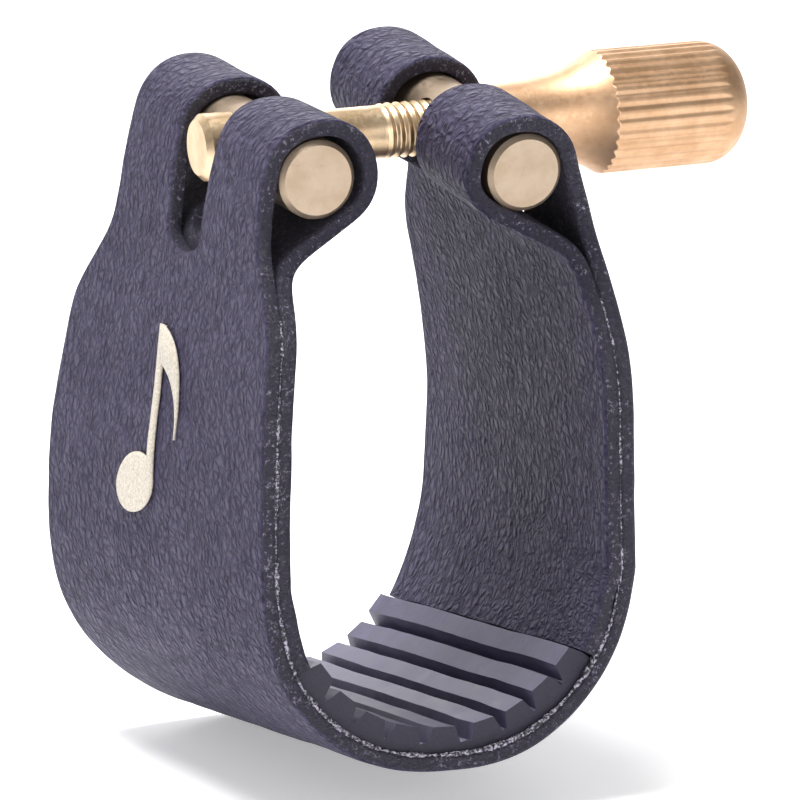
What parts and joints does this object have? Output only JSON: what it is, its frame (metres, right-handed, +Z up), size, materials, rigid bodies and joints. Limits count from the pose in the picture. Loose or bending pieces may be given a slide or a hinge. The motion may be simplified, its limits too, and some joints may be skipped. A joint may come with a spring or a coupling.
{
  "type": "saxophone ligature",
  "caption": "Leather strap ligature for an alto saxophone mouthpiece, with a ribbed rubber reed pad and a cross screw that one thumb nut tightens between two drilled brass pins.",
  "frame": {"origin": "middle of the opening that the mouthpiece fills, on the axis of the hoop", "axes": "+X along the clamping screw towards the thumb nut, +Y along the mouthpiece away from the player, +Z up from the reed pad to the screw"},
  "size_m": [0.0413, 0.0324, 0.0468],
  "materials": {
    "strap_grain": "grained, slate blue-grey, semi-matt",
    "strap_lining": "grained, slate blue-grey, darker inside",
    "pad_rubber": "moulded dark grey-blue rubber, satin",
    "mark_foil": "cream hot-stamped foil",
    "pin_brass": "faced and turned brass, satin",
    "screw_brass": "turned brass, bright on the thread",
    "nut_brass": "turned and fluted brass, satin"
  },
  "bodies": {
    "base": {"base_outer_layer": "strap_grain", "base_inner_layer": "strap_lining", "reed_pad": "pad_rubber"},
    "left_wall": {"left_outer_layer": "strap_grain", "left_inner_layer": "strap_lining", "left_front_loop": "strap_grain", "left_rear_loop": "strap_grain", "note_mark": "mark_foil"},
    "right_wall": {"right_outer_layer": "strap_grain", "right_inner_layer": "strap_lining", "right_front_loop": "strap_grain", "right_rear_loop": "strap_grain"},
    "left_pin": {"left_cross_pin": "pin_brass", "clamp_screw": "screw_brass"},
    "right_pin": {"right_cross_pin": "pin_brass"},
    "nut": {"thumb_nut": "nut_brass"}
  },
  "joints": [
    {"name": "nut_turn", "type": "hinge", "parent": "right_pin", "child": "nut", "pos_m": [0.016, -0.0015, 0.0205], "axis": [-1, 0, 0], "range_deg": [-1800, 2520]},
    {"name": "left_wall_fold", "type": "hinge", "parent": "base", "child": "left_wall", "pos_m": [-0.0127, 0.00021, -0.00394], "axis": [0, 0.9976, 0.0698], "range_deg": [-3.6, 5]},
    {"name": "right_wall_fold", "type": "hinge", "parent": "base", "child": "right_wall", "pos_m": [0.0127, 0.00191, -0.00376], "axis": [0, 0.9903, 0.1392], "range_deg": [-5, 3.6]},
    {"name": "left_pin_turn", "type": "hinge", "parent": "left_wall", "child": "left_pin", "pos_m": [-0.007, -0.0015, 0.0205], "axis": [0, 0.9976, 0.0698], "range_deg": [-5, 3.6]},
    {"name": "right_pin_turn", "type": "hinge", "parent": "right_wall", "child": "right_pin", "pos_m": [0.007, -0.0015, 0.0205], "axis": [0, 0.9903, 0.1392], "range_deg": [-3.6, 5]}
  ],
  "couplings": [
    {"joint": "left_wall_fold", "follows": "nut_turn", "ratio": 0.0019488},
    {"joint": "right_wall_fold", "follows": "nut_turn", "ratio": -0.0019488},
    {"joint": "left_pin_turn", "follows": "nut_turn", "ratio": -0.0019488},
    {"joint": "right_pin_turn", "follows": "nut_turn", "ratio": 0.0019488}
  ]
}
